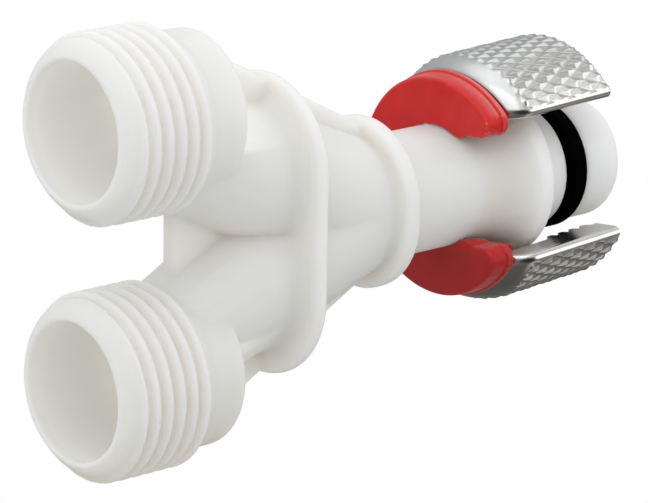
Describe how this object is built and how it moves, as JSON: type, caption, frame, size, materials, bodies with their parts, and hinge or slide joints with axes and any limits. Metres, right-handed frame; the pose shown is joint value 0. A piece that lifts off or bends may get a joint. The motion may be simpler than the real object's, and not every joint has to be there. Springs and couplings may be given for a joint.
{
  "type": "hose splitter",
  "caption": "Garden hose splitter: a white plastic Y with threaded outlets, and a sealed inlet nose held by knurled steel gripping arms with red release blocks.",
  "frame": {"origin": "on the inlet axis, in the middle of the cylindrical part of the inlet nose", "axes": "+X along the inlet, out of the nose; +Z from the lower outlet to the upper outlet"},
  "size_m": [0.0978, 0.0296, 0.0632],
  "materials": {
    "white_acetal": "satin",
    "nitrile_rubber": "satin",
    "stainless_sheet": "bright, knurled",
    "red_plastic": "semi-gloss",
    "steel_pin": "ground",
    "spring_wire": "drawn wire"
  },
  "bodies": {
    "splitter_body": {"y_body": "white_acetal", "inlet_o_ring": "nitrile_rubber", "upper_return_spring": "spring_wire", "lower_return_spring": "spring_wire"},
    "upper_arm": {"upper_grip_shell": "stainless_sheet", "upper_release_block": "red_plastic", "upper_hinge_pin": "steel_pin"},
    "lower_arm": {"lower_grip_shell": "stainless_sheet", "lower_release_block": "red_plastic", "lower_hinge_pin": "steel_pin"}
  },
  "joints": [
    {"name": "upper_arm_hinge", "type": "hinge", "parent": "splitter_body", "child": "upper_arm", "pos_m": [-0.0214, 0.00103, 0.01095], "axis": [0, -0.9956, 0.0932], "range_deg": [-6.3, 4.7], "deforming": ["upper_return_spring"]},
    {"name": "lower_arm_hinge", "type": "hinge", "parent": "splitter_body", "child": "lower_arm", "pos_m": [-0.0214, -0.00103, -0.01095], "axis": [0, 0.9956, -0.0932], "range_deg": [-0.6, 10.4], "deforming": ["lower_return_spring"]}
  ]
}
